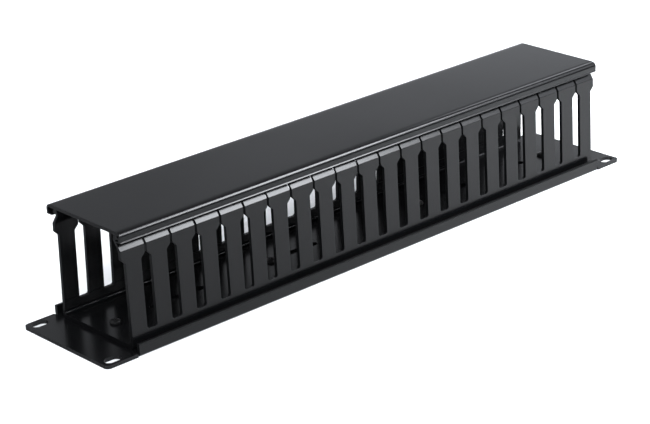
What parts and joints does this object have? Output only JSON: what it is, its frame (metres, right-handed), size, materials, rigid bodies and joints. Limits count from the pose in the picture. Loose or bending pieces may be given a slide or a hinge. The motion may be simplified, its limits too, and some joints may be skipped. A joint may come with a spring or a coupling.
{
  "type": "horizontal cable manager",
  "caption": "Rack-mount horizontal cable manager: a slotted wire duct with a clip-on cover, screwed to a folded panel with slotted ears.",
  "frame": {"origin": "middle of the panel's rear face, halfway between the ears", "axes": "+X along the duct, +Y up the rack, +Z out of the front of the rack"},
  "size_m": [0.4826, 0.0882, 0.0822],
  "materials": {
    "painted_panel": "black powder coat, satin",
    "duct_plastic": "black extruded plastic, satin",
    "cover_plastic": "black extruded plastic, satin",
    "black_screw": "black oxide"
  },
  "bodies": {
    "base": {"rack_panel": "painted_panel", "wire_duct": "duct_plastic", "duct_screw_1": "black_screw", "duct_screw_2": "black_screw", "duct_screw_3": "black_screw", "duct_screw_4": "black_screw"},
    "cover": {"duct_cover": "cover_plastic"}
  },
  "joints": [
    {"name": "cover_slide", "type": "slide", "parent": "base", "child": "cover", "axis": [1, 0, 0], "range_m": [0, 0.445]}
  ]
}
